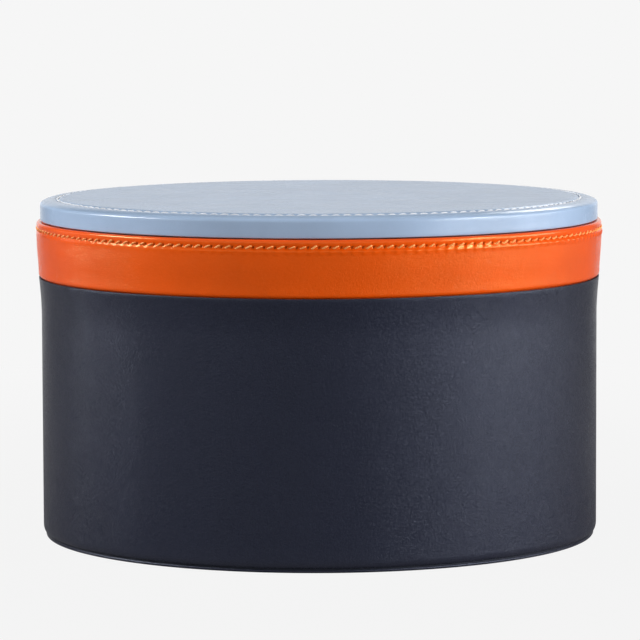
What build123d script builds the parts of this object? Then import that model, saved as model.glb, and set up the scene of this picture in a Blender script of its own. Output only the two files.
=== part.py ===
from build123d import *

import os
from math import cos, degrees, radians, sin, sqrt

# Round lidded storage pot: a board drum covered in leather and lined with suede, with a folded, stitched
# leather collar round its mouth and a padded lift-off lid. Millimetres, +Z up, the origin at the middle of
# the foot's underside, the seams of the wrap and the collar at the back (+Y).

os.makedirs("parts", exist_ok=True)

# Sheets
wrap_sheet = 1.2  # navy leather round the drum
collar_sheet = 1.2  # orange leather of the collar
lid_sheet = 1.1  # blue leather of the lid
foot_sheet = 0.7
suede_sheet = 0.7  # lining of the wall, the floor pad and the lid's plug
glue = 0.1  # joint between two glued layers
feather_edge = 0.15  # thinnest that a pared margin gets

# Drum and wrap
wall_radius = 105.0  # outside of the wrap, where the wall is straight
pot_height = 118.9  # floor to the top of the rim
drum_board = 2.4
drum_floor_board = 3.0
wrap_turn_under = 12.0  # folded in under the drum
wrap_bend = 2.2  # outer radius of that fold
wrap_flare = 0.9  # how far the cut top edge stands out, where it rides over the collar's margin
wrap_flare_height = 12.0
seam_gap = 0.3  # between the two ends of the wrap, and of the collar

# Foot, a covered disc glued under the drum
foot_height = 2.2
foot_setback = 0.7  # foot's side inside the wall's

# Collar
collar_height = 21.0  # rim down to the cut edge of the wrap
collar_stand = 1.6  # how far the stitched band stands out from the wall
collar_low_stand = 1.0  # the same at the collar's lower edge
collar_band = 7.4  # upright band below the rim
collar_roll = 1.4  # height over which the lower edge rolls in under the wrap
collar_turn_in = 12.0  # leather down the inside of the mouth
rim_fold = 1.3  # outer radius of the fold over the rim

# Floor pad
floor_card_thickness = 1.5
floor_pad_gap = 0.4  # round the pad, so that it drops in

# Lid
lid_setback = 1.4  # lid's side inside the collar's
lid_height = 8.2
lid_shoulder = 3.3  # radius of the padded top edge
lid_turn_under = 12.0
lid_wadding = 1.0
lid_board_setback = 0.3  # board's edge inside its cover
lid_seat_gap = 0.3  # lid above the rim

# Plug, the covered disc under the lid that centres it in the mouth
plug_depth = 5.0
plug_gap = 1.0  # round the plug

# Radii and heights that follow
wrap_bottom = foot_height + glue
wrap_top = pot_height - collar_height
wrap_back = wall_radius - wrap_sheet
flare_bottom = wrap_top - wrap_flare_height
drum_radius = wrap_back - glue
drum_inner = drum_radius - drum_board
drum_bottom = wrap_bottom + wrap_sheet + glue
drum_top = pot_height - collar_sheet - glue

foot_radius = wall_radius - foot_setback

collar_radius = wall_radius + collar_stand
collar_low_radius = wall_radius + collar_low_stand
band_bottom = pot_height - collar_band
roll_bottom = wrap_top + glue
roll_top = roll_bottom + collar_roll
flare_slope = wrap_flare / wrap_flare_height
margin_end = flare_bottom + (feather_edge + glue) / flare_slope
lining_radius = drum_inner - glue
mouth_radius = lining_radius - collar_sheet
collar_end = pot_height - collar_turn_in
seam_angle = degrees(seam_gap / wall_radius)

floor_top = drum_bottom + drum_floor_board + glue
pad_radius = lining_radius - suede_sheet - floor_pad_gap
pad_top = floor_top + floor_card_thickness + glue + suede_sheet

lid_radius = collar_radius - lid_setback
lid_bottom = pot_height + lid_seat_gap
lid_top = lid_bottom + lid_height
lid_back = lid_radius - lid_sheet
lid_ceiling = lid_top - lid_sheet
lid_inner_corner = (lid_shoulder - lid_sheet) * (2 - sqrt(2))  # keeps the padded edge's full thickness
lid_board_top = lid_ceiling - lid_wadding - 2 * glue

plug_radius = mouth_radius - plug_gap
plug_top = lid_bottom - glue
plug_bottom = lid_bottom - plug_depth


def bend(radius, height, size, start, chords=2):
    """Points of a quarter bend in half section, round the middle (`radius`, `height`) and from the
    direction `start`, in degrees above level. Short chords keep the surface light."""
    turns = [radians(start + 90 * i / chords) for i in range(chords + 1)]
    return [(radius + size * cos(turn), height + size * sin(turn)) for turn in turns]


def cover_section(radius, face, back, sheet):
    """Half section of a cover glued over one face of a disc and down its side. `face` is the height of
    the covered face and `back` that of the bare one, above or below it."""
    inside = face + sheet if back > face else face - sheet
    with BuildSketch(Plane.XZ) as section:
        with BuildLine():
            Polyline(
                (0, face),
                (radius, face),
                (radius, back),
                (radius - sheet, back),
                (radius - sheet, inside),
                (0, inside),
                close=True,
            )
        make_face()
    return section.sketch


# Foot
with BuildPart() as foot_leather:
    revolve(cover_section(foot_radius, 0, foot_height, foot_sheet), axis=Axis.Z)

with BuildPart() as foot_board:
    with BuildSketch(Plane.XY.offset(foot_sheet + glue)):
        Circle(foot_radius - foot_sheet - glue)
    extrude(amount=foot_height - foot_sheet - glue)

# Drum
with BuildPart() as drum_wall:
    with BuildSketch(Plane.XY.offset(drum_bottom)):
        Circle(drum_radius)
        Circle(drum_inner, mode=Mode.SUBTRACT)
    extrude(amount=drum_top - drum_bottom)

with BuildPart() as drum_floor:
    with BuildSketch(Plane.XY.offset(drum_bottom)):
        Circle(drum_inner - glue)
    extrude(amount=drum_floor_board)

# Wrap, flared over the collar's margin at the top and turned under the drum at the bottom
with BuildPart() as body_leather:
    with BuildSketch(Plane.YZ):
        with BuildLine():
            Polyline(
                (wall_radius - wrap_turn_under, wrap_bottom),
                *bend(wall_radius - wrap_bend, wrap_bottom + wrap_bend, wrap_bend, -90),
                (wall_radius, flare_bottom),
                (wall_radius + wrap_flare, wrap_top),
                (wrap_back + wrap_flare, wrap_top),
                (wrap_back, flare_bottom),
                (wrap_back, wrap_bottom + wrap_sheet),
                (wall_radius - wrap_turn_under, wrap_bottom + wrap_sheet),
                close=True,
            )
        make_face()
    revolve(axis=Axis.Z, revolution_arc=360 - seam_angle)

# Collar: a pared margin under the wrap, a rolled lower edge, the stitched band, and the fold over the rim
with BuildPart() as collar_leather:
    with BuildSketch(Plane.YZ):
        with BuildLine():
            Polyline(
                (wrap_back, margin_end),
                (wrap_back + feather_edge, margin_end),
                (wrap_back + wrap_flare - glue + flare_slope * glue, roll_bottom),
                (collar_low_radius, roll_top),
                (collar_radius, band_bottom),
                *bend(collar_radius - rim_fold, pot_height - rim_fold, rim_fold, 0),
                *bend(mouth_radius + rim_fold, pot_height - rim_fold, rim_fold, 90),
                (mouth_radius, collar_end),
                (lining_radius, collar_end),
                (lining_radius, pot_height - collar_sheet),
                (collar_radius - collar_sheet, pot_height - collar_sheet),
                (collar_radius - collar_sheet, band_bottom),
                (collar_low_radius - collar_sheet, roll_top),
                (wrap_back, roll_top - (collar_low_radius - collar_sheet - wrap_back)),
                close=True,
            )
        make_face()
    revolve(axis=Axis.Z, revolution_arc=360 - seam_angle)

# Tapered strip round the drum that carries the collar's spread
with BuildPart() as collar_stiffener:
    with BuildSketch(Plane.XZ):
        with BuildLine():
            Polyline(
                (wrap_back, roll_top),
                (collar_low_radius - collar_sheet - glue, roll_top),
                (collar_radius - collar_sheet - glue, band_bottom),
                (collar_radius - collar_sheet - glue, drum_top),
                (wrap_back, drum_top),
                close=True,
            )
        make_face()
    revolve(axis=Axis.Z)

# Lining
with BuildPart() as liner_suede:
    with BuildSketch(Plane.XY.offset(floor_top)):
        Circle(lining_radius)
        Circle(lining_radius - suede_sheet, mode=Mode.SUBTRACT)
    extrude(amount=collar_end - glue - floor_top)

with BuildPart() as floor_card:
    with BuildSketch(Plane.XY.offset(floor_top)):
        Circle(pad_radius - suede_sheet - glue)
    extrude(amount=floor_card_thickness)

with BuildPart() as floor_suede:
    revolve(cover_section(pad_radius, pad_top, floor_top, suede_sheet), axis=Axis.Z)

# Lid
with BuildPart() as lid_board:
    with BuildSketch(Plane.XY.offset(lid_bottom + lid_sheet + glue)):
        Circle(lid_back - lid_board_setback)
    extrude(amount=lid_board_top - lid_bottom - lid_sheet - glue)

with BuildPart() as lid_padding:
    with BuildSketch(Plane.XY.offset(lid_board_top + glue)):
        Circle(lid_back - lid_inner_corner - glue)
    extrude(amount=lid_wadding)

with BuildPart() as lid_leather:
    with BuildSketch(Plane.XZ) as lid_section:
        with BuildLine():
            Polyline(
                (lid_radius - lid_turn_under, lid_bottom + lid_sheet),
                (lid_radius - lid_turn_under, lid_bottom),
                (lid_radius, lid_bottom),
                *bend(lid_radius - lid_shoulder, lid_top - lid_shoulder, lid_shoulder, 0, chords=3),
                (0, lid_top),
                (0, lid_ceiling),
                (lid_back, lid_ceiling),
                (lid_back, lid_bottom + lid_sheet),
                close=True,
            )
        make_face()
        chamfer(lid_section.vertices().sort_by_distance((lid_back, lid_ceiling))[0], lid_inner_corner)
    revolve(axis=Axis.Z)

# Plug
with BuildPart() as plug_board:
    with BuildSketch(Plane.XY.offset(plug_bottom + suede_sheet + glue)):
        Circle(plug_radius - suede_sheet - glue)
    extrude(amount=plug_top - plug_bottom - suede_sheet - glue)

with BuildPart() as plug_suede:
    revolve(cover_section(plug_radius, plug_bottom, plug_top, suede_sheet), axis=Axis.Z)

pieces = {
    "foot_leather": foot_leather,
    "foot_board": foot_board,
    "drum_wall": drum_wall,
    "drum_floor": drum_floor,
    "body_leather": body_leather,
    "collar_leather": collar_leather,
    "collar_stiffener": collar_stiffener,
    "liner_suede": liner_suede,
    "floor_card": floor_card,
    "floor_suede": floor_suede,
    "lid_board": lid_board,
    "lid_padding": lid_padding,
    "lid_leather": lid_leather,
    "plug_board": plug_board,
    "plug_suede": plug_suede,
}
for name, piece in pieces.items():
    piece.part.label = name
    export_step(piece.part, f"parts/{name}.step")
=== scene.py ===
from math import cos, pi, radians, sin, tan

import bpy
import numpy as np
from mathutils import Matrix, Vector


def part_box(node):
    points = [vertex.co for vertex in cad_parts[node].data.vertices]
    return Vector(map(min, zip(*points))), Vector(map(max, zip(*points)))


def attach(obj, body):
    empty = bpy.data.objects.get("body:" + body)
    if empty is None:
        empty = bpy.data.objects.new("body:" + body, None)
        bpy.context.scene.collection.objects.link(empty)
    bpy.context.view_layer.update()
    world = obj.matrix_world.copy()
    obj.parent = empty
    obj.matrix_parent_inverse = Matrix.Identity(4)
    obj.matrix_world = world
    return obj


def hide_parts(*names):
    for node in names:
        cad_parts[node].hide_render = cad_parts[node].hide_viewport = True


# Looks of a round leather storage pot: the covers, linings and threads as modelled meshes round the boards
# of the frame. Metres, +Z up, the camera on the -Y side, the leather's seams at the back (+Y).

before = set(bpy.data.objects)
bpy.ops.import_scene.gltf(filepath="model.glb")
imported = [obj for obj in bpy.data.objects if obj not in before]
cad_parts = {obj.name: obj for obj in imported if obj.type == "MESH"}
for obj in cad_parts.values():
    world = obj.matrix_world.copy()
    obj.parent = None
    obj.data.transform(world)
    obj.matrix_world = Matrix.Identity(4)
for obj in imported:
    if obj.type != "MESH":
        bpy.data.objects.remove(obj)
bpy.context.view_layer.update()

MM = 0.001


def reach(node):
    """A round CAD node's outer radius, lowest and highest z."""
    low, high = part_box(node)
    return max(-low.x, -low.y, high.x, high.y), low.z, high.z


# Sheets and joints between them, as in the frame
WRAP_SHEET = 1.2 * MM
COLLAR_SHEET = 1.2 * MM
LID_SHEET = 1.1 * MM
FOOT_SHEET = 0.7 * MM
SUEDE = 0.7 * MM  # of the lining, the floor pad and the plug
GLUE = 0.1 * MM
SEAM_GAP = 0.3 * MM
SEAM_DIP = 0.2 * MM  # how far the two ends of a leather sheet dip where they meet

# Wrap of the drum
WRAP_FLARE = 0.9 * MM  # how far its cut top edge stands out
WRAP_FLARE_HEIGHT = 14.0 * MM  # over which it opens to that
WRAP_EDGE = 0.28 * MM  # rounding of its cut top edge
WRAP_ROLL = (1.0 * MM, 2.6 * MM)  # how far in, and over which height, its lower edge rolls
WRAP_HANG = 0.6 * MM  # how far that edge hangs round the foot
WRAP_TURN_UNDER = 12.0 * MM  # folded in under the drum

# Foot
FOOT_INSET = 0.3 * MM  # how far its side lies inside that of its CAD node
FOOT_SIDE = 1.1 * MM  # height of its rounded side, below a neck
FOOT_ROUND = 0.4 * MM  # how far that side stands out from the neck

# Collar
COLLAR_LOW_SPREAD = 0.65 * MM  # how far its lower edge lies inside the band
COLLAR_ROLL = 1.4 * MM  # height over which the lower edge rolls in under the wrap
COLLAR_BAND = 7.4 * MM  # upright band below the rim
COLLAR_MARGIN = 0.15 * MM  # thickness of its pared end under the wrap
COLLAR_TURN_IN = 12.0 * MM  # down the inside of the mouth
RIM_FOLD = 1.0 * MM  # radius of the fold over the rim

# Lid
LID_CORNER = 1.3 * MM  # radius where its side turns over
LID_CROWN = 9.0 * MM  # radius of the padded border's gentle rise
LID_TURN = 62  # where the corner passes into that rise, in degrees above outward
LID_EDGE = 0.55 * MM  # radius of its lower edge
LID_TURN_UNDER = 12.0 * MM  # folded in under the board
BORDER_DROP = 0.25 * MM  # top of the border, below the lid's nominal height
PANEL_RISE = 0.12 * MM  # padded middle, above it

# Suede over the floor pad and the plug
SUEDE_EDGE = 0.6 * MM  # rounding where it turns down the side

# Sewing
COLLAR_STITCHES = 172
COLLAR_SEAM_DROP = 2.75 * MM  # row below the top of the rim
COLLAR_PUFF = 0.3 * MM  # leather swollen below the row, where the thread draws it
COLLAR_PULL = radians(-10)  # where the thread draws most, from +X
COLLAR_PULL_SHARE = 0.6  # share by which it draws more there, and less on the other side
COLLAR_LIFT = 0.06 * MM  # leather swollen above the row
COLLAR_CHANNEL = 0.2 * MM  # depth of the channel along the row
COLLAR_SLIT = 0.45 * MM  # depth of the needle slits
SLIT_LEAN = 0.35  # how far they lean along the row, for each step up
LID_STITCHES = 154
LID_SEAM_INSET = 6.5 * MM  # row inside the lid's side
LID_CHANNEL = 0.35 * MM  # depth of the channel along the row
LID_HOLE = 0.3 * MM  # depth of the needle holes
LID_PUCKER = 0.06 * MM  # depth to which the thread draws the leather beside them

# Meshes
WRAP_COLUMNS = 900
PLAIN_COLUMNS = 720  # of the foot's cover, the lining and the covered discs
WADDING_COLUMNS = 360
HOLE_PHASES = [0, 0.05, 0.12, 0.26, 0.5, 0.74, 0.88, 0.95]  # columns of a sewn piece, in stitches from a hole
SEAM_PHASES = [0.5, 0.75, 1.2, 2.2]  # columns beside a sheet's end, in gap widths from the gap's middle
STITCH_RINGS, STITCH_SIDES = 15, 12
DRIFT_WAVES = 7  # in the slow unevenness of the leather
DRIFT_CLIMB = 20 * MM  # height over which those waves turn by a radian at most

lip_radius, wrap_bottom, wrap_top = reach("body_leather")
wall_radius = lip_radius - WRAP_FLARE
wrap_back = wall_radius - WRAP_SHEET
collar_radius, margin_end, rim_top = reach("collar_leather")
foot_radius, floor_z, foot_top = reach("foot_leather")
liner_radius, liner_bottom, liner_top = reach("liner_suede")
pad_radius, pad_bottom, pad_top = reach("floor_suede")
lid_radius, lid_bottom, lid_top = reach("lid_leather")
plug_radius, plug_bottom, plug_top = reach("plug_suede")
wadding_radius, wadding_bottom, wadding_top = reach("lid_padding")
mouth_radius = liner_radius - COLLAR_SHEET
collar_seam_height = rim_top - COLLAR_SEAM_DROP
lid_seam_radius = lid_radius - LID_SEAM_INSET


# Half sections


def line(start, end, steps=1):
    """Rows of (radius, height) from start to end."""
    return np.linspace(start, end, steps + 1)


def arc(middle, size, first, last, steps):
    """Rows along a circle's arc, from the direction first to last, in degrees above outward."""
    turns = np.radians(np.linspace(first, last, steps + 1))
    return np.column_stack([middle[0] + size * np.cos(turns), middle[1] + size * np.sin(turns)])


def outline(*runs):
    """The runs as one line, without the points that they share."""
    rows = np.vstack(runs)
    apart = np.hypot(*np.diff(rows, axis=0).T) > 0.001 * MM
    return rows[np.append(True, apart)]


def closing_in(radius, share, count):
    """Radii of rings towards the axis, each that share of the one before."""
    return radius * share ** np.arange(count)


def level(radii, height):
    """Rows at one height."""
    return np.column_stack([radii, np.full(len(radii), height)])


def smooth(t):
    """0 to 1 with a level start and end."""
    t = np.clip(t, 0, 1)
    return t * t * (3 - 2 * t)


def bell(distance, width):
    """1 at no distance, falling off over the width."""
    return np.exp(-((distance / width) ** 2))


def plateau(distance, width):
    """Nearly 1 within the width, then falling off fast."""
    return np.exp(-((distance / width) ** 4))


# Meshes turned round the axis


def even_turn(columns):
    """Angles of evenly spaced mesh columns."""
    return np.arange(columns) * 2 * pi / columns


def sewn_turn(stitches):
    """Angles of the mesh columns of a sewn piece, closer together at the needle holes."""
    phases = np.arange(stitches)[:, None] + np.array(HOLE_PHASES)[None, :]
    return pi / 2 + phases.ravel() * 2 * pi / stitches


def opened(angles, radius):
    """The same angles for a sheet whose ends meet at the back, with a gap and finer columns beside it."""
    edge = np.array(SEAM_PHASES) * SEAM_GAP / radius
    start, end = pi / 2 + edge, 5 * pi / 2 - edge[::-1]
    turned_round = pi / 2 + (angles - pi / 2) % (2 * pi)
    inner = np.sort(turned_round)
    inner = inner[(inner > start[-1] + edge[0]) & (inner < end[0] - edge[0])]
    return np.concatenate([start, inner, end])


def profile_normals(rows, closed):
    """Outward directions of a half section that runs up its outside."""
    if closed:
        ahead, behind = np.roll(rows, -1, axis=0), np.roll(rows, 1, axis=0)
    else:
        ahead, behind = np.vstack([rows[1:], rows[-1:]]), np.vstack([rows[:1], rows[:-1]])
    along = ahead - behind
    along /= np.maximum(np.hypot(*along.T), 1e-9)[:, None]
    return np.column_stack([along[:, 1], -along[:, 0]])


def round_points(angles, radius, height):
    """Points at those angles, radii and heights."""
    return np.column_stack([radius * np.cos(angles), radius * np.sin(angles), height + 0 * angles])


def ring_faces(low, high, is_open):
    """Faces between two rings of vertex numbers, where one may have half the columns of the other or be a
    single point on the axis."""
    a, b = np.asarray(low), np.asarray(high)
    if len(a) == 1 or len(b) == 1:
        ring, tip = (b, a[0]) if len(a) == 1 else (a, b[0])
        after = np.roll(ring, -1)
        if len(a) == 1:
            return [[tip, q, p] for p, q in zip(ring.tolist(), after.tolist())]
        return [[p, q, tip] for p, q in zip(ring.tolist(), after.tolist())]
    if len(a) == len(b):
        quads = np.column_stack([a, np.roll(a, -1), np.roll(b, -1), b])
        return (quads[:-1] if is_open else quads).tolist()
    if len(a) == 2 * len(b):
        after = np.roll(a, -2)[::2]
        return np.column_stack([a[::2], a[1::2], after, np.roll(b, -1), b]).tolist()
    after = np.roll(b, -2)[::2]
    return np.column_stack([a, np.roll(a, -1), after, b[1::2], b[::2]]).tolist()


def halvings(radii, most=4):
    """How often each ring's columns are halved towards the axis, by one step at most from ring to ring."""
    levels = np.log2(radii.max() / np.maximum(radii, 1e-9)).clip(0, most).astype(int)
    for k in list(range(1, len(levels))) + list(range(len(levels) - 2, -1, -1)):
        beside = [levels[j] for j in (k - 1, k + 1) if 0 <= j < len(levels)]
        levels[k] = min(levels[k], min(beside) + 1)
    return levels


def turned(name, rows, angles, relief=None, marks=None, is_open=False, through_axis=False):
    """A closed mesh turned from a half section. relief gives each point's height over the section, from its
    angle, radius and height, and marks gives named masks the same way."""
    normals = profile_normals(rows, closed=not through_axis)
    levels = halvings(rows[:, 0]) if through_axis else np.zeros(len(rows), int)
    points, rings, masks = [], [], {key: [] for key in marks or {}}
    count = 0
    for (radius, height), (out, up), halved in zip(rows, normals, levels):
        around = angles[:: 2**halved] if radius > 0 else angles[:1]
        lift = relief(around, radius, height) if relief and radius > 0 else 0 * around
        reach_out = radius + lift * out
        points.append(round_points(around, reach_out, height + lift * up))
        for key, mask in (marks or {}).items():
            masks[key].append(np.broadcast_to(mask(around, radius, height), around.shape))
        rings.append(np.arange(count, count + len(around)))
        count += len(around)
    faces = []
    for low, high in zip(rings, rings[1:]):
        faces += ring_faces(low, high, is_open)
    if not through_axis:
        faces += ring_faces(rings[-1], rings[0], is_open)
    if is_open:
        faces.append([int(ring[0]) for ring in rings])
        faces.append([int(ring[-1]) for ring in rings[::-1]])
    masks = {key: np.concatenate(values) for key, values in masks.items()}
    return mesh_object(name, np.vstack(points), faces, masks)


def mesh_object(name, points, faces, masks=None, crease=40):
    """A smooth-shaded object with sharp edges where faces turn by more than crease degrees."""
    mesh = bpy.data.meshes.new(name)
    mesh.from_pydata(points.tolist(), [], faces)
    for key, values in (masks or {}).items():
        layer = mesh.attributes.new(key, "FLOAT", "POINT")
        layer.data.foreach_set("value", np.ascontiguousarray(values, np.float32))
    mesh.shade_smooth()
    mesh.set_sharp_from_angle(angle=radians(crease))
    mesh.validate()
    piece = bpy.data.objects.new(name, mesh)
    bpy.context.scene.collection.objects.link(piece)
    return piece


def hole_distance(angles, radius, stitches):
    """Distance along a row of sewing from the nearest needle hole, signed, and the share of the way from one
    hole to the next."""
    share = ((angles - pi / 2) * stitches / (2 * pi)) % 1
    pitch = 2 * pi * radius / stitches
    return np.where(share > 0.5, share - 1, share) * pitch, share


def drift(angles, height, size, seed):
    """Slow unevenness of hand-laid leather: a sum of waves round the piece."""
    random = np.random.default_rng(seed)
    total = 0 * angles
    for wave in range(1, DRIFT_WAVES + 1):
        turn, climb = random.uniform(0, 2 * pi), random.uniform(-1, 1) / DRIFT_CLIMB
        total = total + np.sin(wave * 2 * angles + turn + climb * height) / wave
    return size * total


def seam_dip(angles, radius, depth):
    """Ends of a sheet, softened where they meet at the back."""
    distance = np.abs((angles - pi / 2 + pi) % (2 * pi) - pi) * radius
    return -depth * bell(distance, 0.5 * MM)


# Threads


def stitch_form(length, rise, sink, slant, half_width, half_height, lean=1.0):
    """One stitch of twisted thread: points along, across and out of the leather, ends sunk in the holes.
    Above 1, lean moves its highest place towards its far end."""
    plies, passing, lobe = 3, 1.4, 0.1  # strands, how many cross one stitch, and how much they stand out
    end, flatness = 0.72, 3.2  # thickness left at the ends, and how level the stitch lies between them
    t = np.linspace(0, 1, STITCH_RINGS)
    bow = 1 - np.abs(2 * t**lean - 1) ** flatness
    path = np.column_stack([(t - 0.5) * length, (smooth(t) - 0.5) * slant, -sink + (sink + rise) * bow])
    tangent = np.gradient(path, axis=0)
    tangent /= np.linalg.norm(tangent, axis=1)[:, None]
    side = np.cross([0, 0, 1.0], tangent)
    side /= np.linalg.norm(side, axis=1)[:, None]
    over = np.cross(tangent, side)
    turn = even_turn(STITCH_SIDES)
    lobes = 1 + lobe * np.cos(plies * turn[None, :] - 2 * pi * passing * t[:, None])
    taper = (end + (1 - end) * np.sin(pi * t) ** 0.5)[:, None]
    wide = (lobes * taper * half_width * np.cos(turn))[:, :, None] * side[:, None, :]
    high = (lobes * taper * half_height * np.sin(turn))[:, :, None] * over[:, None, :]
    return path[:, None, :] + wide + high


def stitch_faces(rings, sides):
    """Faces of one stitch, its two ends last."""
    faces = []
    for i in range(rings - 1):
        for j in range(sides):
            k = (j + 1) % sides
            faces.append([i * sides + j, (i + 1) * sides + j, (i + 1) * sides + k, i * sides + k])
    faces.append(list(range(sides)))
    faces.append([(rings - 1) * sides + j for j in reversed(range(sides))])
    return faces


def sewing(name, stitches, place, form, jitter, seed):
    """A row of stitches as one object. place makes points from a stitch's angle and its offsets along the
    row, across it and out of the leather, and jitter is how far the stitches stray, in metres."""
    random = np.random.default_rng(seed)
    rings, sides, _ = form.shape
    *around, low_end, high_end = stitch_faces(rings, sides)
    around, ends = np.array(around), np.array([low_end, high_end])
    points, faces = [], []
    for i in range(stitches):
        middle = pi / 2 + (i + 0.5) * 2 * pi / stitches
        loose = random.normal(0, 1, 3) * jitter
        along = form[:, :, 0].ravel() * (1 + 0.03 * random.normal())
        across = form[:, :, 1].ravel() * (1 + 0.15 * random.normal()) + loose[1]
        out = form[:, :, 2].ravel() + loose[2]
        points.append(place(middle, along + loose[0], across, out))
        faces += (around + i * rings * sides).tolist()
        faces += (ends + i * rings * sides).tolist()
    return mesh_object(name, np.vstack(points), faces, crease=180)


# Materials


class Nodes:
    """A tree of nodes, with short calls to add and join them."""

    def __init__(self, tree):
        self.tree = tree
        self.tree.nodes.clear()

    def add(self, kind, inputs=None, **settings):
        """A node with its settings, and with a value or a link for each input that is named."""
        node = self.tree.nodes.new(kind)
        for key, value in settings.items():
            setattr(node, key, value)
        for key, value in (inputs or {}).items():
            if isinstance(value, bpy.types.NodeSocket):
                self.tree.links.new(value, node.inputs[key])
            else:
                node.inputs[key].default_value = value
        return node

    def maths(self, operation, a, b):
        """What one operation makes of two numbers."""
        return self.add("ShaderNodeMath", {0: a, 1: b}, operation=operation).outputs[0]

    def scaled(self, value, low, high, to_low=0.0, to_high=1.0, interpolation="LINEAR"):
        """The value, moved from one range to another and held within it."""
        inputs = {"Value": value, "From Min": low, "From Max": high, "To Min": to_low, "To Max": to_high}
        return self.add("ShaderNodeMapRange", inputs, interpolation_type=interpolation).outputs["Result"]

    def eased(self, value, low, high, to_low, to_high):
        """The same with a level start and end."""
        return self.scaled(value, low, high, to_low, to_high, "SMOOTHSTEP")


class Shader(Nodes):
    """A material's nodes."""

    def __init__(self, name):
        self.material = bpy.data.materials.new(name)
        self.material.use_nodes = True
        super().__init__(self.material.node_tree)
        self.place = self.add("ShaderNodeTexCoord").outputs["Object"]

    def stretched(self, scale):
        """The place on the piece, scaled along each axis."""
        return self.add("ShaderNodeMapping", {"Vector": self.place, "Scale": scale}).outputs["Vector"]

    def noise(self, size, detail, place=None, roughness=0.5, distortion=0.0):
        """Cloudy values round 0.5 with features of that size in metres."""
        inputs = {"Vector": place or self.place, "Scale": 1 / size, "Detail": detail}
        inputs.update({"Roughness": roughness, "Distortion": distortion})
        return self.add("ShaderNodeTexNoise", inputs).outputs["Fac"]

    def cells(self, size, place=None, feature="DISTANCE_TO_EDGE"):
        """Distances within irregular cells of that size in metres."""
        inputs = {"Vector": place or self.place, "Scale": 1 / size}
        return self.add("ShaderNodeTexVoronoi", inputs, feature=feature).outputs["Distance"]

    def blend(self, share, a, b):
        """Colour a where share is 0, b where it is 1."""
        node = self.add("ShaderNodeMix", {"Factor": share}, data_type="RGBA")
        for name, value in (("A", a), ("B", b)):
            socket = [s for s in node.inputs if s.name == name and s.type == "RGBA"][0]
            if isinstance(value, bpy.types.NodeSocket):
                self.tree.links.new(value, socket)
            else:
                socket.default_value = (*value, 1)
        return [s for s in node.outputs if s.type == "RGBA"][0]

    def bump(self, height, depth, normal=None, strength=1.0):
        """A normal that follows height, whose full swing stands for depth in metres."""
        inputs = {"Height": height, "Distance": depth, "Strength": strength}
        if normal is not None:
            inputs["Normal"] = normal
        return self.add("ShaderNodeBump", inputs).outputs["Normal"]

    def mask(self, name):
        """A named mask of the piece, 0 where the piece has none of that name."""
        return self.add("ShaderNodeAttribute", attribute_name=name).outputs["Fac"]

    def finish(self, colour, roughness, normal, **settings):
        """The material, with one surface shader."""
        inputs = {"Base Color": colour, "Roughness": roughness, "Normal": normal, **settings}
        surface = self.add("ShaderNodeBsdfPrincipled", inputs)
        self.add("ShaderNodeOutputMaterial", {"Surface": surface.outputs["BSDF"]})
        return self.material


def shade(colour, factor):
    """The colour, darker or paler."""
    return tuple(channel * factor for channel in colour)


def leather(name, colour, edge_colour, roughness, grain, gloss_tint, shine, waves):
    """Smooth dyed hide with broken creases, a fine grain and soft waves. The masks of its pieces paint the
    folds paler, as rubbed wear and a painted highlight, bare the cut edges, paint shade into the needle holes
    and the foot's neck, and smooth the grain where a seam draws it taut. The lid's panel is a little more
    matt."""
    s = Shader(name)
    wander = s.noise(2.5 * MM, 2.0)
    offset = s.maths("MULTIPLY", wander, 0.6 * MM)
    broken = s.add("ShaderNodeVectorMath", {0: s.place, 1: wander, 2: offset}, operation="MULTIPLY_ADD")
    creases = s.scaled(s.cells(0.85 * MM, broken.outputs[0]), 0.0, 0.22)
    in_crease = s.scaled(creases, 1.0, 0.0)
    pebbles = s.noise(0.85 * MM, 2.0, roughness=0.6)
    clouds = s.noise(22 * MM, 3.0)
    fold_wear_and_painted_highlight, cut, hole, taut = s.mask("fold_wear_and_painted_highlight"), s.mask("cut"), s.mask("hole"), s.mask("taut")
    # Paler colour of the folds: partly rubbed wear, partly a painted highlight where light catches their
    # edges.
    rubbed_and_painted_highlight = tuple(1.15 * channel + 0.03 for channel in colour)

    body = s.blend(s.scaled(clouds, 0.3, 0.7), shade(colour, 0.93), shade(colour, 1.06))
    body = s.blend(s.maths("MULTIPLY", in_crease, 0.22), body, shade(colour, 0.7))
    # Folds painted paler, as rubbed wear and as a painted highlight.
    body = s.blend(s.maths("MULTIPLY", fold_wear_and_painted_highlight, 0.35), body, rubbed_and_painted_highlight)
    body = s.blend(cut, body, edge_colour)
    # Painted shade: the needle holes and the foot's neck painted darker, as shade falls in them.
    body = s.blend(s.maths("MULTIPLY", hole, 0.85), body, shade(colour, 0.22))

    rough = s.scaled(s.noise(9 * MM, 3.0), 0.3, 0.7, roughness - 0.02, roughness + 0.02)
    roughened = ((in_crease, 0.08), (cut, 0.25), (hole, 0.3), (taut, -0.05), (s.mask("panel"), 0.05))
    for place, amount in roughened:
        rough = s.maths("ADD", rough, s.maths("MULTIPLY", place, amount))

    normal = s.bump(s.noise(14 * MM, 2.0), waves)
    ease = s.scaled(taut, 0.0, 1.0, 1.0, 0.12)
    normal = s.bump(creases, 0.2 * grain, normal, ease)
    normal = s.bump(pebbles, grain, normal, ease)
    settings = {"IOR": 1.5, "Specular IOR Level": shine, "Specular Tint": (*gloss_tint, 1)}
    return s.finish(body, rough, normal, **settings)


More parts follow.
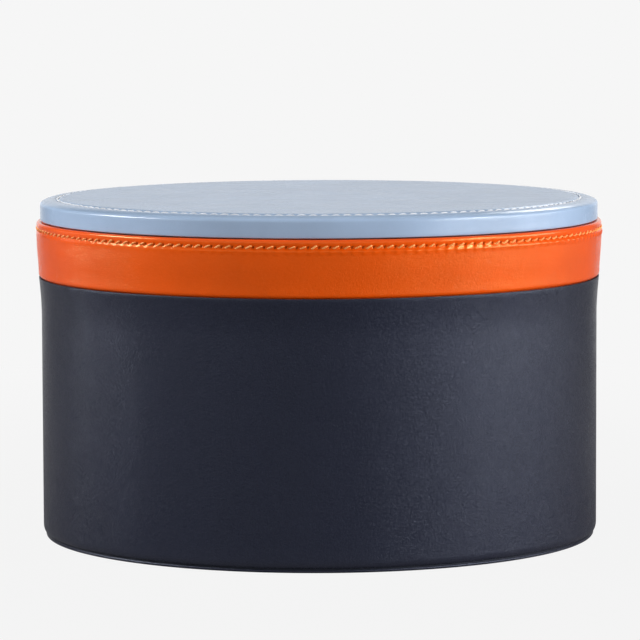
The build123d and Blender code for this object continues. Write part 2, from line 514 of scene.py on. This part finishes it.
def suede(name, colour):
    """Napped hide: short fibres brushed into lighter and darker patches."""
    s = Shader(name)
    nap = s.noise(0.25 * MM, 3.0, roughness=0.8)
    brushed = s.noise(9 * MM, 4.0, s.stretched((1, 1, 0.45)), distortion=0.6)
    body = s.blend(s.scaled(brushed, 0.35, 0.65), shade(colour, 0.75), shade(colour, 1.3))
    body = s.blend(s.scaled(nap, 0.35, 0.7), shade(colour, 0.6), body)
    rough = s.scaled(brushed, 0.3, 0.7, 0.86, 0.97)
    normal = s.bump(nap, 0.12 * MM, s.bump(brushed, 0.15 * MM))
    settings = {"Sheen Weight": 0.35, "Sheen Roughness": 0.5, "Specular IOR Level": 0.2}
    return s.finish(body, rough, normal, **settings)


def millboard(name, colour):
    """Grey-brown board of pressed fibres with darker specks."""
    s = Shader(name)
    fibres = s.noise(0.8 * MM, 4.0, s.stretched((1, 0.35, 1)), roughness=0.7, distortion=0.4)
    specks = s.scaled(s.cells(2.2 * MM, feature="F1"), 0.1, 0.22)
    body = s.blend(s.scaled(fibres, 0.3, 0.7), shade(colour, 0.8), shade(colour, 1.15))
    body = s.blend(specks, shade(colour, 0.55), body)
    rough = s.scaled(fibres, 0.3, 0.7, 0.82, 0.95)
    return s.finish(body, rough, s.bump(fibres, 0.08 * MM))


def felt(name, colour):
    """Pressed wadding of pale fibres."""
    s = Shader(name)
    tufts = s.noise(1.6 * MM, 4.0, roughness=0.75, distortion=1.2)
    body = s.blend(s.scaled(tufts, 0.3, 0.7), shade(colour, 0.82), shade(colour, 1.08))
    rough = s.scaled(tufts, 0.3, 0.7, 0.9, 1.0)
    return s.finish(body, rough, s.bump(tufts, 0.3 * MM), **{"Sheen Weight": 0.3})


def thread(name, colour):
    """Waxed linen: fine fibres on the twist, slightly uneven from stitch to stitch."""
    s = Shader(name)
    fibres = s.noise(0.12 * MM, 3.0, roughness=0.7)
    wax = s.noise(5 * MM, 2.0)
    body = s.blend(s.scaled(wax, 0.3, 0.7), shade(colour, 0.88), shade(colour, 1.04))
    body = s.blend(s.maths("MULTIPLY", s.scaled(fibres, 0.7, 0.3), 0.35), body, shade(colour, 0.7))
    rough = s.scaled(fibres, 0.3, 0.7, 0.42, 0.6)
    return s.finish(body, rough, s.bump(fibres, 0.04 * MM), **{"Sheen Weight": 0.15})


def dress(piece, material, body, slot, *nodes):
    """Gives a piece its finish, the body that carries it and the nodes that it stands for."""
    piece.data.materials.append(material)
    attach(piece, body)
    if nodes:
        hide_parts(*nodes)
    return piece


# Pieces of the pot


def wrap_radius(height):
    """Outer radius of the wrap, which opens towards its cut top edge."""
    share = np.clip((height - wrap_top) / WRAP_FLARE_HEIGHT + 1, 0, 1)
    return wall_radius + WRAP_FLARE * share**1.6


def body_wrap():
    """Navy leather round the drum. Its cut top edge stands out over the collar's margin, and its lower edge
    rolls under the drum and hangs a little round the foot."""
    edge = WRAP_EDGE
    straight_top = wrap_top - WRAP_FLARE_HEIGHT
    end = wall_radius - WRAP_TURN_UNDER
    hang = wrap_bottom - WRAP_HANG
    roll_in, roll_up = WRAP_ROLL
    roll = arc((0, 0), 1, -90, 0, 12) * WRAP_ROLL + [wall_radius - roll_in, hang + roll_up]
    corner_size = 0.05 * MM  # of the small corner inside the hanging edge
    tip = wall_radius - roll_in - corner_size
    flare_z = np.linspace(straight_top, wrap_top - edge, 13)
    outer_flare = np.column_stack([wrap_radius(flare_z), flare_z])
    inner_flare = outer_flare[::-1] - [WRAP_SHEET, 0]
    corner, back_corner = outer_flare[-1] - [edge, 0], inner_flare[0] + [edge, 0]
    rows = outline(
        line((end, wrap_bottom), (tip, wrap_bottom), 3),
        line((tip, wrap_bottom), (tip, hang + corner_size), 2),
        roll,
        line((wall_radius, hang + roll_up), (wall_radius, straight_top), 16),
        outer_flare,
        arc(corner, edge, 0, 90, 4),
        arc(back_corner, edge, 90, 180, 3),
        inner_flare,
        line((wrap_back, straight_top), (wrap_back, wrap_bottom + 2 * WRAP_SHEET), 4),
        line((wrap_back, wrap_bottom + WRAP_SHEET), (end, wrap_bottom + WRAP_SHEET), 2),
    )

    def relief(angles, radius, height):
        if radius < wrap_radius(height) - 0.5 * WRAP_SHEET:
            return 0 * angles
        upright = smooth((height - wrap_bottom - 1 * MM) / (6 * MM))
        return upright * drift(angles, height, 0.035 * MM, seed=3) + seam_dip(angles, radius, SEAM_DIP)

    marks = {
        "cut": lambda angle, radius, height: smooth((height - wrap_top + 0.3 * MM) / (0.25 * MM)),
        # Paler band along the wrap's lower edge: rubbed wear and a painted highlight.
        "fold_wear_and_painted_highlight": lambda angle, radius, height: bell(height - wrap_bottom - 0.5 * MM, 1.2 * MM),
    }
    angles = opened(even_turn(WRAP_COLUMNS), wall_radius)
    return turned("body_wrap", rows, angles, relief, marks, is_open=True)


def collar_relief(angles, radius, height):
    """Shallow channel, slanted needle slits, and the leather that swells above and most of all below."""
    if radius < mouth_radius + 3 * MM or height < wrap_top:
        return 0 * angles
    along, share = hole_distance(angles, radius, COLLAR_STITCHES)
    up = height - collar_seam_height
    outside = smooth((radius - mouth_radius - 4.2 * MM) / (1.6 * MM))  # 0 on the rim's inner part
    between = 0.5 - 0.5 * np.cos(2 * pi * share)  # 0 at a hole, 1 midway to the next
    slit = bell(along - SLIT_LEAN * up, 0.28 * MM) * plateau(up, 0.4 * MM)
    below = np.clip((-0.25 * MM - up) / (1.2 * MM), 0, 1)  # 0 in the row, 1 a little below it
    even = 0.4 * smooth((up + 6 * MM) / (4.5 * MM))  # the same all along, faded out lower down
    drawn = 0.6 * smooth((up + 3.2 * MM) / (1.6 * MM)) * bell(along - 0.4 * MM, 1.0 * MM)  # by each stitch
    pull = 1 + COLLAR_PULL_SHARE * np.cos(angles - COLLAR_PULL)
    puff = 0.5 * (below + smooth(below)) * (even + drawn) * pull
    channel = (1 - 0.6 * between) * bell(up, 0.75 * MM)
    above = between * bell(up - 1.2 * MM, 0.6 * MM)
    sewn = COLLAR_PUFF * puff + COLLAR_LIFT * above - COLLAR_CHANNEL * channel - COLLAR_SLIT * slit
    uneven = drift(angles, height, 0.02 * MM, seed=5)
    return outside * (sewn + uneven) + seam_dip(angles, radius, SEAM_DIP)


def collar_slit_painted_shade(angles, radius, height):
    """Mask of the needle slits, where shade is painted into the leather's colour."""
    along, _ = hole_distance(angles, radius, COLLAR_STITCHES)
    up = height - collar_seam_height
    on_face = smooth((radius - mouth_radius - 4.5 * MM) / (1 * MM))
    return on_face * bell(along - SLIT_LEAN * up, 0.3 * MM) * plateau(up, 0.5 * MM)


def collar():
    """Orange leather from its margin under the wrap up the band, over the rim and down the mouth's inside,
    with the sewn row in finer mesh rows."""
    low_radius = collar_radius - COLLAR_LOW_SPREAD
    roll_bottom = wrap_top + GLUE
    roll_top = roll_bottom + COLLAR_ROLL
    band_bottom = rim_top - COLLAR_BAND
    band_back = collar_radius - COLLAR_SHEET
    fold_z = rim_top - RIM_FOLD
    fold_back = rim_top - COLLAR_SHEET
    inside_end = rim_top - COLLAR_TURN_IN
    tuck = (wrap_back + WRAP_FLARE - GLUE, roll_bottom)
    roll = arc((tuck[0], roll_top), 1, -90, 0, 8) - [tuck[0], roll_top]
    roll = [tuck[0], roll_top] + roll * [low_radius - tuck[0], COLLAR_ROLL]
    rise = np.linspace(roll_top, band_bottom, 12)
    spread = low_radius + COLLAR_LOW_SPREAD * smooth((rise - roll_top) / (band_bottom - roll_top))
    row_low, row_high = collar_seam_height - 3.4 * MM, collar_seam_height + 1.0 * MM
    rows = outline(
        line((wrap_back, margin_end), (wrap_back + COLLAR_MARGIN, margin_end)),
        line((wrap_back + COLLAR_MARGIN, margin_end), tuck, 2),
        roll,
        np.column_stack([spread, rise]),
        line((collar_radius, band_bottom), (collar_radius, row_low), 2),
        line((collar_radius, row_low), (collar_radius, row_high), 21),
        line((collar_radius, row_high), (collar_radius, fold_z), 2),
        arc((collar_radius - RIM_FOLD, fold_z), RIM_FOLD, 0, 90, 8),
        arc((mouth_radius + RIM_FOLD, fold_z), RIM_FOLD, 90, 180, 6),
        line((mouth_radius, fold_z), (mouth_radius, inside_end), 3),
        line((mouth_radius, inside_end), (liner_radius, inside_end)),
        line((liner_radius, inside_end), (liner_radius, fold_back)),
        line((liner_radius, fold_back), (band_back, fold_back)),
        line((band_back, fold_back), (band_back, band_bottom)),
        line((band_back, band_bottom), (low_radius - COLLAR_SHEET, roll_top)),
        line((low_radius - COLLAR_SHEET, roll_top), (wrap_back, roll_bottom)),
    )

    def cut(angles, radius, height):
        return float(height < inside_end + GLUE and radius < liner_radius + GLUE)

    marks = {
        # Painted shade in the needle slits.
        "hole": collar_slit_painted_shade,
        "taut": lambda angle, radius, height: smooth((height - collar_seam_height + 2.6 * MM) / (1 * MM)),
        "cut": cut,
        # Paler band along the rim's fold: rubbed wear and a painted highlight.
        "fold_wear_and_painted_highlight": lambda angle, radius, height: bell(height - rim_top + 0.6 * MM, 0.7 * MM),
    }
    angles = opened(sewn_turn(COLLAR_STITCHES), collar_radius)
    return turned("collar_band", rows, angles, collar_relief, marks, is_open=True)


def collar_thread():
    """Row of tonal stitches on the collar's band, each from one slit to the next."""

    def place(middle, along, across, out):
        return round_points(middle + along / collar_radius, collar_radius + out, collar_seam_height + across)

    form = stitch_form(
        length=2.9 * MM,
        rise=0.06 * MM,
        sink=0.55 * MM,
        slant=1.0 * MM,
        half_width=0.29 * MM,
        half_height=0.24 * MM,
        lean=1.6,
    )
    return sewing("collar_stitches", COLLAR_STITCHES, place, form, jitter=0.035 * MM, seed=11)


def foot_cover():
    """Leather under and round the foot's board, drawn in at a neck where the wrap hangs over it, with shade
    painted into that neck.
    """
    neck = foot_radius - FOOT_INSET - FOOT_ROUND
    inside = neck - 0.04 * MM  # over the board's edge the leather is pared thin
    middle = 6 * MM  # radius of the last ring
    back = floor_z + FOOT_SHEET
    rounded = arc((0, 0), 1, -90, 90, 14) * [FOOT_ROUND, FOOT_SIDE / 2] + [neck, floor_z + FOOT_SIDE / 2]
    rings = closing_in(foot_radius * 0.97, 0.55, 4)
    rows = outline(
        line((0, floor_z), (middle, floor_z)),
        level(rings[::-1], floor_z),
        rounded,
        line((neck, floor_z + FOOT_SIDE), (neck, foot_top), 2),
        line((neck, foot_top), (inside, foot_top)),
        line((inside, foot_top), (inside, back), 2),
        level(rings, back),
        line((middle, back), (0, back)),
    )
    side_top = floor_z + FOOT_SIDE
    marks = {
        # Paler line along the top of the foot's rounded side: rubbed wear and a painted highlight.
        "fold_wear_and_painted_highlight": lambda angle, radius, height: bell(height - side_top + 0.1 * MM, 0.2 * MM),
        # Painted shade: the neck under the wrap's hanging edge painted darker, as in a shadow.
        "hole": lambda angle, radius, height: smooth((height - side_top + 0.08 * MM) / (0.1 * MM)),
    }
    return turned("foot_cover", rows, even_turn(PLAIN_COLUMNS), marks=marks, through_axis=True)


def wall_lining():
    """Suede round the inside of the drum, from the drum's floor to the collar's turned-in end."""
    edge = 0.3 * MM  # rounding of its top
    inner = liner_radius - SUEDE
    rows = outline(
        line((inner, liner_bottom), (liner_radius, liner_bottom)),
        line((liner_radius, liner_bottom), (liner_radius, liner_top), 4),
        line((liner_radius, liner_top), (inner + edge, liner_top)),
        arc((inner + edge, liner_top - edge), edge, 90, 180, 4),
        line((inner, liner_top - edge), (inner, liner_bottom), 24),
    )

    def relief(angles, radius, height):
        if radius > inner + edge:
            return 0 * angles
        return drift(angles, height, 0.05 * MM, seed=17) + seam_dip(angles, radius, 0.3 * MM)

    return turned("wall_lining", rows, even_turn(PLAIN_COLUMNS), relief)


def disc_cover(name, radius, face, back):
    """Suede over one face of a disc and down its side, with a soft edge. The face may be above or below."""
    up = 1 if face > back else -1
    rings = closing_in(radius * 0.96, 0.6, 6)
    inside = face - up * SUEDE
    inner = radius - SUEDE
    edge = face - up * SUEDE_EDGE
    rows = outline(
        line((0, inside), (rings[-1], inside)),
        level(rings[::-1], inside),
        line((rings[0], inside), (inner, inside)),
        line((inner, inside), (inner, back), 2),
        line((inner, back), (radius, back)),
        line((radius, back), (radius, edge), 3),
        arc((radius - SUEDE_EDGE, edge), SUEDE_EDGE, 0, 90 * up, 6),
        level(rings, face),
        line((rings[-1], face), (0, face)),
    )
    if up < 0:
        rows = rows[::-1]
    return turned(name, rows, even_turn(PLAIN_COLUMNS), through_axis=True)


# Pieces of the lid


crown_radius = lid_radius - LID_CORNER - (LID_CROWN - LID_CORNER) * cos(radians(LID_TURN))
crown_height = lid_top - BORDER_DROP - LID_CROWN  # middle of the border's arc
corner_height = crown_height + (LID_CROWN - LID_CORNER) * sin(radians(LID_TURN))


def crown(radius, size):
    """Height of the border's arc of that radius."""
    return crown_height + np.sqrt(size**2 - np.maximum(radius - crown_radius, 0) ** 2)


def lid_border():
    """Rows of the lid's top, from the corner over the padded border and the sewn channel to the middle."""
    start = crown_radius + LID_CROWN * cos(radians(LID_TURN))
    border = np.linspace(start, lid_seam_radius - 2.4 * MM, 40)
    rise = (BORDER_DROP + PANEL_RISE) * smooth((lid_seam_radius - 0.2 * MM - border) / (1.9 * MM))
    channel = LID_CHANNEL * bell(border - lid_seam_radius, 0.62 * MM)
    return np.column_stack([border, crown(border, LID_CROWN) + rise - channel])


def lid_relief(angles, radius, height):
    """Needle holes, the small puckers that they draw, and faint upright stretch marks down the side."""
    if height < lid_bottom + 2 * MM or radius < 20 * MM:
        return 0 * angles
    on_top = smooth((height - lid_top + 2 * MM) / (1 * MM))
    along, share = hole_distance(angles, lid_seam_radius, LID_STITCHES)
    aside = radius - lid_seam_radius
    hole = bell(along, 0.34 * MM) * bell(aside, 0.5 * MM)
    pucker = (0.5 + 0.5 * np.cos(2 * pi * share)) * bell(np.abs(aside) - 1.0 * MM, 0.8 * MM)
    sewn = -LID_HOLE * hole - LID_PUCKER * pucker
    uneven = drift(angles, height, 0.02 * MM, seed=23)
    stretched = drift(9 * angles, height, 0.004 * MM, seed=31)
    return on_top * sewn + uneven + stretched


def lid_hole_painted_shade(angles, radius, height):
    """Mask of the needle holes, where shade is painted into the leather's colour."""
    along, _ = hole_distance(angles, lid_seam_radius, LID_STITCHES)
    near = bell(along, 0.33 * MM) * bell(radius - lid_seam_radius, 0.5 * MM)
    return near * (height > lid_top - 1 * MM)


def lid_cover():
    """Blue leather over the lid's wadding and board, down its side and turned in underneath."""
    top = lid_border()
    panel = lid_top + PANEL_RISE
    side = lid_bottom + LID_EDGE
    corner = (lid_radius - LID_CORNER, corner_height)
    ceiling = panel - LID_SHEET
    back = lid_radius - LID_SHEET
    end = lid_radius - LID_TURN_UNDER
    inner = LID_CROWN - LID_SHEET
    rings = closing_in(top[-1, 0] * 0.97, 0.62, 8)
    rows = outline(
        line((0, ceiling), (rings[-1], ceiling)),
        level(rings[::-1], ceiling),
        line((rings[0], ceiling), (lid_seam_radius - 1.2 * MM, ceiling)),
        line((lid_seam_radius - 1.2 * MM, ceiling), (lid_seam_radius, crown_height + inner)),
        arc((crown_radius, crown_height), inner, 88, LID_TURN, 5),
        arc(corner, LID_CORNER - LID_SHEET, LID_TURN, 0, 2),
        line((back, corner_height), (back, lid_bottom + LID_SHEET)),
        line((back, lid_bottom + LID_SHEET), (end, lid_bottom + LID_SHEET)),
        line((end, lid_bottom + LID_SHEET), (end, lid_bottom)),
        line((end, lid_bottom), (lid_radius - LID_EDGE, lid_bottom), 2),
        arc((lid_radius - LID_EDGE, side), LID_EDGE, -90, 0, 5),
        line((lid_radius, side), (lid_radius, corner_height), 6),
        arc(corner, LID_CORNER, 0, LID_TURN, 9),
        top,
        level(rings, panel),
        line((rings[-1], panel), (0, panel)),
    )

    def sewn_down(angles, radius, height):
        return smooth((lid_seam_radius - radius) / (2 * MM)) * (height > lid_top - 0.6 * MM)

    # Paler band along the lid's corner: rubbed wear and a painted highlight.
    def rubbed_and_painted_highlight(angles, radius, height):
        return 0.7 * bell(height - corner_height - 0.8 * MM, 0.6 * MM) * (radius > corner[0])

    # Painted shade in the needle holes, and paler wear with a painted highlight along the corner.
    marks = {"hole": lid_hole_painted_shade, "panel": sewn_down, "fold_wear_and_painted_highlight": rubbed_and_painted_highlight}
    return turned("lid_cover", rows, sewn_turn(LID_STITCHES), lid_relief, marks, through_axis=True)


def lid_thread():
    """Row of pale stitches in the channel between the lid's border and its middle."""

    def place(middle, along, across, out):
        border_top = lid_top - BORDER_DROP
        return round_points(middle + along / lid_seam_radius, lid_seam_radius - across, border_top + out)

    form = stitch_form(
        length=3.6 * MM,
        rise=0.02 * MM,
        sink=0.6 * MM,
        slant=0.3 * MM,
        half_width=0.23 * MM,
        half_height=0.2 * MM,
    )
    return sewing("lid_stitches", LID_STITCHES, place, form, jitter=0.03 * MM, seed=29)


def lid_wadding():
    """Thin pad under the lid's leather, pressed thin at its edge and drawn down under the sewing."""
    top = wadding_top - 0.02 * MM
    soft = 0.12 * MM  # rounding of its edge
    rings = closing_in(wadding_radius * 0.9, 0.6, 6)
    near = np.linspace(wadding_radius - soft, rings[0], 24)
    under = np.minimum(top, crown(near, LID_CROWN - LID_SHEET - 2 * GLUE))
    rows = outline(
        line((0, wadding_bottom), (rings[-1], wadding_bottom)),
        level(rings[::-1], wadding_bottom),
        arc((wadding_radius - soft, wadding_bottom + soft), soft, -90, 0, 4),
        arc((wadding_radius - soft, under[0] - soft), soft, 0, 90, 4),
        np.column_stack([near, under - 0.25 * MM * bell(near - lid_seam_radius, 0.9 * MM)]),
        level(rings, top),
        line((rings[-1], top), (0, top)),
    )
    return turned("lid_wadding", rows, even_turn(WADDING_COLUMNS), through_axis=True)


# Studio

BACKGROUND = 0.9216  # linear value of the pale backdrop
ROOM_LIGHT = (1.3, 0.15)  # strength of the room's own light, before and behind the pot
ROOM_DEPTH = (-0.2, 0.6)  # where it passes from one to the other, as a direction's y
CEILING = 0.15  # share of that light overhead
CEILING_RISE = (0.1, 0.6)  # from the walls to the ceiling, as a direction's z
BACKDROP_EDGE = (0.87, 0.97)  # from the room to the backdrop, as a direction's y
FLOOR_COLOUR = 0.3  # linear value of its paint
FLOOR_RADIUS = 15.0
FLOOR_GLOW = 0.97  # share of the backdrop's colour in the floor as seen near the pot
FLOOR_FADE = (0.15, 0.6)  # metres from the pot over which that share grows to the whole

CAMERA_PLACE = (0.0003, -1.4974, 0.2259)
CAMERA_PITCH = 5.553  # degrees downwards
CAMERA_ROLL = -0.2  # degrees
CAMERA_SENSOR, CAMERA_LENS = 36, 223.07  # millimetres

LAMP_AIM = Vector((0, 0, 0.08))

# Each lamp's azimuth and elevation in degrees, distance, width and height in degrees, and watts
LAMPS = {
    "softbox_left": (-89, 25, 1.5, (25, 16), 19),
    "softbox_right": (69, 24, 1.5, (15, 15), 10.5),
    "softbox_rear_right": (161, 30, 1.5, (6, 9), 1.2),
    "softbox_left_low": (-116, 6, 1.5, (14, 10), 0.3),
    "softbox_right_low": (77, 6, 1.5, (58, 10), 12.3),
    "softbox_overhead": (180, 62, 1.7, (44, 40), 2.2),
}


def add_camera():
    """The photograph's view: a long lens a little above the pot."""
    data = bpy.data.cameras.new("camera")
    data.sensor_width, data.lens, data.clip_end = CAMERA_SENSOR, CAMERA_LENS, 200
    camera = bpy.data.objects.new("camera", data)
    bpy.context.scene.collection.objects.link(camera)
    pitch = Matrix.Rotation(radians(90 - CAMERA_PITCH), 4, "X")
    turn = pitch @ Matrix.Rotation(radians(CAMERA_ROLL), 4, "Z")
    camera.matrix_world = Matrix.Translation(CAMERA_PLACE) @ turn
    bpy.context.scene.camera = camera


def softbox(name, azimuth, elevation, distance, span, watts):
    """A rectangular lamp that faces the pot. Azimuth in degrees from the camera's side towards +X, span its
    width and height in degrees as the pot sees them."""
    data = bpy.data.lights.new(name, "AREA")
    data.shape, data.energy = "RECTANGLE", watts
    data.size, data.size_y = (2 * distance * tan(radians(angle / 2)) for angle in span)
    lamp = bpy.data.objects.new(name, data)
    bpy.context.scene.collection.objects.link(lamp)
    turn, rise = radians(azimuth), radians(elevation)
    away = Vector((sin(turn) * cos(rise), -cos(turn) * cos(rise), sin(rise)))
    lamp.location = LAMP_AIM + distance * away
    lamp.rotation_euler = (-away).to_track_quat("-Z", "Y").to_euler()
    lamp.visible_camera = False


def grey(value):
    """The opaque grey of that linear value."""
    return (value, value, value, 1)


def backdrop_share(nodes, direction):
    """How far a ray meets the pale backdrop: wholly if it comes from the camera or through glass, and if it
    is a reflection, only where its direction is nearly straight back."""
    split = nodes.add("ShaderNodeSeparateXYZ", {"Vector": direction})
    behind = nodes.eased(split.outputs["Y"], *BACKDROP_EDGE, 0, 1)
    path = nodes.add("ShaderNodeLightPath").outputs
    share = nodes.maths("MULTIPLY", path["Is Glossy Ray"], behind)
    for kind in ("Is Camera Ray", "Is Transmission Ray"):
        share = nodes.maths("MAXIMUM", share, path[kind])
    return share


def add_world():
    """Seen straight, the pale backdrop. As light, a room that is brighter before the pot than behind it and
    darker overhead. What the pot mirrors has the backdrop in it, right behind the pot."""
    world = bpy.data.worlds.new("studio")
    world.use_nodes = True
    bpy.context.scene.world = world
    nodes = Nodes(world.node_tree)
    direction = nodes.add("ShaderNodeTexCoord").outputs["Generated"]
    split = nodes.add("ShaderNodeSeparateXYZ", {"Vector": direction})
    depth = nodes.eased(split.outputs["Y"], *ROOM_DEPTH, *ROOM_LIGHT)
    light = nodes.maths("MULTIPLY", depth, nodes.eased(split.outputs["Z"], *CEILING_RISE, 1, CEILING))
    room = nodes.add("ShaderNodeBackground", {"Color": grey(1), "Strength": light}).outputs["Background"]
    backdrop = nodes.add("ShaderNodeBackground", {"Color": grey(BACKGROUND)}).outputs["Background"]
    share = backdrop_share(nodes, direction)
    mix = nodes.add("ShaderNodeMixShader", {"Fac": share, 1: room, 2: backdrop})
    nodes.add("ShaderNodeOutputWorld", {"Surface": mix.outputs["Shader"]})


def add_floor():
    """A wide pale floor. Seen straight, and where the pot mirrors its far side, it is mostly the backdrop's
    own colour: wholly so far from the pot, and with the pot's shadow near it."""
    rim = even_turn(96)
    floor = mesh_object("floor", round_points(rim, FLOOR_RADIUS, 0), [list(range(len(rim)))])
    s = Shader("floor")
    paint = s.add("ShaderNodeBsdfDiffuse", {"Color": grey(FLOOR_COLOUR)}).outputs["BSDF"]
    glow = s.add("ShaderNodeEmission", {"Color": grey(BACKGROUND)}).outputs["Emission"]
    distance = s.add("ShaderNodeVectorMath", {0: s.place}, operation="LENGTH").outputs["Value"]
    direction = s.add("ShaderNodeVectorMath", {0: s.place}, operation="NORMALIZE").outputs["Vector"]
    fade = s.eased(distance, *FLOOR_FADE, FLOOR_GLOW, 1)
    share = s.maths("MULTIPLY", backdrop_share(s, direction), fade)
    mix = s.add("ShaderNodeMixShader", {"Fac": share, 1: paint, 2: glow})
    s.add("ShaderNodeOutputMaterial", {"Surface": mix.outputs["Shader"]})
    floor.data.materials.append(s.material)


add_camera()
for name, settings in LAMPS.items():
    softbox(name, *settings)
add_world()
add_floor()

navy = leather(
    "navy_leather",
    colour=(0.0085, 0.0098, 0.022),
    edge_colour=(0.02, 0.022, 0.032),
    roughness=0.235,
    grain=0.07 * MM,
    gloss_tint=(0.7, 0.78, 1.0),
    shine=0.42,
    waves=0.08 * MM,
)
orange = leather(
    "orange_leather",
    colour=(0.8, 0.08, 0.0005),
    edge_colour=(0.6, 0.08, 0.01),
    roughness=0.18,
    grain=0.075 * MM,
    gloss_tint=(1.0, 0.92, 0.3),
    shine=0.45,
    waves=0.06 * MM,
)
blue = leather(
    "blue_leather",
    colour=(0.34, 0.455, 0.63),
    edge_colour=(0.5, 0.5, 0.48),
    roughness=0.19,
    grain=0.012 * MM,
    gloss_tint=(1, 1, 1),
    shine=0.5,
    waves=0.02 * MM,
)
lining = suede("lining_suede", (0.025, 0.03, 0.048))
board = millboard("board", (0.3, 0.26, 0.2))
wadding = felt("wadding", (0.75, 0.73, 0.67))
white = thread("white_thread", (0.88, 0.9, 0.93))
tonal = thread("orange_thread", (0.97, 0.38, 0.09))

dress(body_wrap(), navy, "pot", "navy_leather", "body_leather")
dress(collar(), orange, "pot", "orange_leather", "collar_leather")
dress(collar_thread(), tonal, "pot", "orange_thread")
dress(foot_cover(), navy, "pot", "navy_leather", "foot_leather")
dress(wall_lining(), lining, "pot", "lining_suede", "liner_suede")
floor_pad = disc_cover("floor_pad_cover", pad_radius, pad_top, pad_bottom)
dress(floor_pad, lining, "pot", "lining_suede", "floor_suede")
dress(lid_cover(), blue, "lid", "blue_leather", "lid_leather")
dress(lid_thread(), white, "lid", "white_thread")
plug = disc_cover("plug_cover", plug_radius, plug_bottom, plug_top)
dress(plug, lining, "lid", "lining_suede", "plug_suede")
pad = dress(lid_wadding(), wadding, "lid", "wadding", "lid_padding")

pot_boards = ("foot_board", "drum_wall", "drum_floor", "collar_stiffener", "floor_card")
for name in (*pot_boards, "lid_board", "plug_board"):
    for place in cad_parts[name].material_slots:
        place.material = board

bpy.context.scene.view_settings.view_transform = "Standard"
